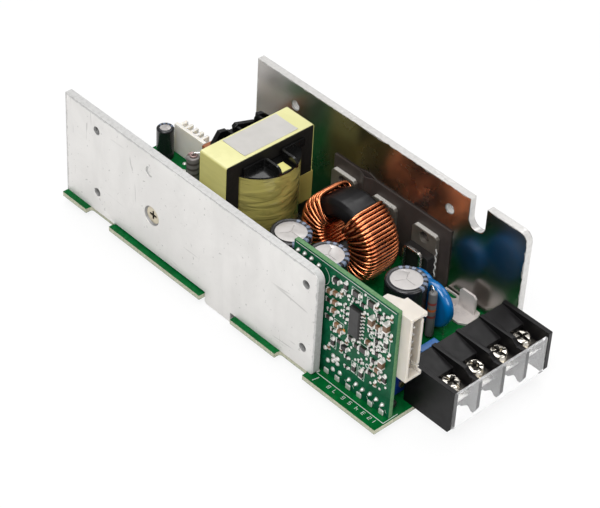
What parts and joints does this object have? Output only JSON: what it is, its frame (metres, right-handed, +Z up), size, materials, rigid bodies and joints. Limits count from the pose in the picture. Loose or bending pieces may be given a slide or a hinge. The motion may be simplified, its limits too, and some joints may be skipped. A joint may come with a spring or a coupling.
{
  "type": "open frame switching power supply",
  "caption": "Open frame power supply module: a printed board between two flat aluminium heatsink plates, with transformer, toroid choke, upright control board and screw terminals.",
  "frame": {"origin": "middle of the footprint, at the level of the plate legs' and trimmed leads' lower ends", "axes": "+X along the board towards the screw terminals, +Y from the left plate to the right plate, +Z up"},
  "size_m": [0.1528, 0.061, 0.0421],
  "materials": {
    "board_green": "solder mask over laminate, beige cut edges",
    "daughter_green": "darker solder mask over laminate, beige cut edges",
    "left_plate_metal": "mill finish with light smudges and scratches",
    "right_plate_metal": "mill finish, bright and reflecting on its inner face",
    "zinc_screw": "yellowish zinc plating",
    "spring_steel": "plain steel",
    "grey_sheet": "dark grey silicone sheet",
    "black_moulding": "moulded black epoxy",
    "tinned_metal": "tinned copper",
    "bracket_metal": "tinned sheet",
    "ferrite": "black ferrite",
    "yellow_tape": "translucent yellow film tape",
    "olive_tape": "yellow film tape over dark ferrite",
    "winding_tape": "creased yellow film tape over copper",
    "black_bobbin": "black moulded plastic",
    "choke_grey": "powder core with a dark grey coat",
    "copper_wire": "enamelled copper",
    "can_aluminium": "satin can end",
    "black_sleeve": "shrunk black sleeve with pale marks",
    "grey_coat": "grey dipped coat",
    "banded_coat": "grey coat with orange and red bands",
    "blue_coat": "dipped blue coat",
    "blue_plastic": "moulded blue plastic",
    "pale_blue_plastic": "moulded blue plastic",
    "brass_screw": "brass",
    "orange_coat": "brown orange dipped coat",
    "header_nylon": "cream white nylon",
    "ceramic_brown": "brown ceramic with tinned ends",
    "solder": "bright solder",
    "terminal_black": "moulded black plastic",
    "bright_steel": "nickel plated steel",
    "clear_cover": "clear plastic"
  },
  "bodies": {
    "root": {"banded_resistor": "banded_coat", "banded_resistor_wires": "tinned_metal", "board_diode": "black_moulding", "bobbin": "black_bobbin", "bowed_sheet": "grey_sheet", "capacitor_can_1": "can_aluminium", "capacitor_can_2": "can_aluminium", "capacitor_can_3": "can_aluminium", "capacitor_sleeve_1": "black_sleeve", "capacitor_sleeve_2": "black_sleeve", "capacitor_sleeve_3": "black_sleeve", "chip_parts": "ceramic_brown", "choke_core": "choke_grey", "choke_winding": "copper_wire", "clamp_bar": "spring_steel", "clamp_screw": "zinc_screw", "control_chip": "black_moulding", "control_chip_leads": "tinned_metal", "core_belt": "olive_tape", "core_lower": "ferrite", "core_tape": "yellow_tape", "core_upper": "ferrite", "daughter_board": "daughter_green", "daughter_joints": "solder", "disc_capacitor_1": "blue_coat", "disc_capacitor_2": "blue_coat", "disc_wires": "tinned_metal", "film_capacitor": "pale_blue_plastic", "insulating_sheet": "grey_sheet", "left_heatsink": "left_plate_metal", "main_board": "board_green", "orange_capacitor": "orange_coat", "output_bracket": "bracket_metal", "rear_header": "header_nylon", "rear_header_pins": "tinned_metal", "rear_resistor": "grey_coat", "rear_resistor_wires": "tinned_metal", "rectifier_frames": "tinned_metal", "rectifier_packages": "black_moulding", "right_heatsink": "right_plate_metal", "shunt_link": "tinned_metal", "signal_header": "header_nylon", "signal_header_pins": "tinned_metal", "small_capacitor_can": "can_aluminium", "small_capacitor_sleeve": "black_sleeve", "switch_frames": "tinned_metal", "switch_packages": "black_moulding", "switch_pad": "grey_sheet", "terminal_block": "terminal_black", "terminal_cover": "clear_cover", "terminal_screws": "bright_steel", "terminal_strips": "tinned_metal", "terminal_washers": "bright_steel", "transformer_pins": "tinned_metal", "transformer_winding": "winding_tape", "trimmer_body": "blue_plastic", "trimmer_screw": "brass_screw"}
  },
  "joints": []
}
